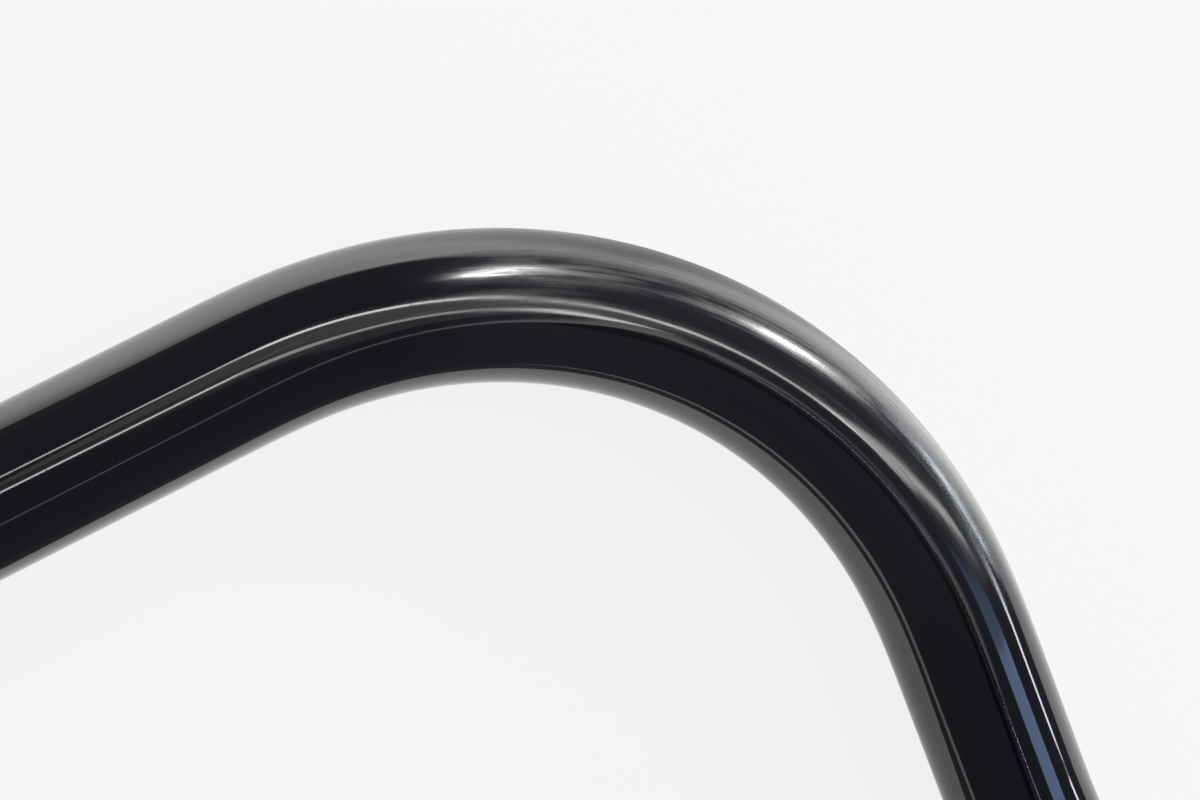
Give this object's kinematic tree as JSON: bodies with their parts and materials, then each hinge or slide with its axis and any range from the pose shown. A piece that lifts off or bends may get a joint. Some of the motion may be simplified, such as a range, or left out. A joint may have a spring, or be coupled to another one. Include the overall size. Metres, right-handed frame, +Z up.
{
  "type": "drop handlebar",
  "caption": "Round-bend drop handlebar for a track or road bicycle, with a pressed centre sleeve and expander end plugs.",
  "frame": {"origin": "centre of the stem clamp zone, on the tube's centreline", "axes": "+X along the straight top towards the rider's right, -Y along the ramps towards the hooks, +Z up from the bench that the top, top bends and ramps lie on, the way the hooks curl. On a bicycle the drops are level, so up is (0, 0.7071, -0.7071) and travel is (0, -0.7071, -0.7071)"},
  "size_m": [0.4238, 0.2002, 0.1841],
  "materials": {
    "bar_anodised": "black anodised, polished straights, satin on the stretched outside of the bends",
    "sleeve_anodised": "black anodised, finely turned",
    "cap_anodised": "black anodised, turned",
    "expander_nylon": "moulded black nylon",
    "wedge_alloy": "machined, natural",
    "screw_steel": "black oxide"
  },
  "bodies": {
    "bar": {"bar_tube": "bar_anodised", "centre_sleeve": "sleeve_anodised"},
    "left_plug": {"left_plug_cap": "cap_anodised", "left_plug_expander": "expander_nylon"},
    "left_screw": {"left_plug_screw": "screw_steel"},
    "left_wedge": {"left_plug_wedge_nut": "wedge_alloy"},
    "right_plug": {"right_plug_cap": "cap_anodised", "right_plug_expander": "expander_nylon"},
    "right_screw": {"right_plug_screw": "screw_steel"},
    "right_wedge": {"right_plug_wedge_nut": "wedge_alloy"}
  },
  "joints": [
    {"name": "left_plug_pull", "type": "slide", "parent": "bar", "child": "left_plug", "axis": [0, 0.7071, 0.7071], "range_m": [0, 0.045]},
    {"name": "left_screw_turn", "type": "hinge", "parent": "left_plug", "child": "left_screw", "pos_m": [-0.2, -0.08785, 0.16153], "axis": [0, 0.7071, 0.7071], "range_deg": [0, 1080]},
    {"name": "left_wedge_travel", "type": "slide", "parent": "left_plug", "child": "left_wedge", "axis": [0, -0.7071, -0.7071], "range_m": [0, 0.0024]},
    {"name": "right_plug_pull", "type": "slide", "parent": "bar", "child": "right_plug", "axis": [0, 0.7071, 0.7071], "range_m": [0, 0.045]},
    {"name": "right_screw_turn", "type": "hinge", "parent": "right_plug", "child": "right_screw", "pos_m": [0.2, -0.08785, 0.16153], "axis": [0, 0.7071, 0.7071], "range_deg": [0, 1080]},
    {"name": "right_wedge_travel", "type": "slide", "parent": "right_plug", "child": "right_wedge", "axis": [0, -0.7071, -0.7071], "range_m": [0, 0.0024]}
  ],
  "couplings": [
    {"joint": "left_wedge_travel", "follows": "left_screw_turn", "m_per_rad": 0.0001273},
    {"joint": "right_wedge_travel", "follows": "right_screw_turn", "m_per_rad": 0.0001273}
  ]
}
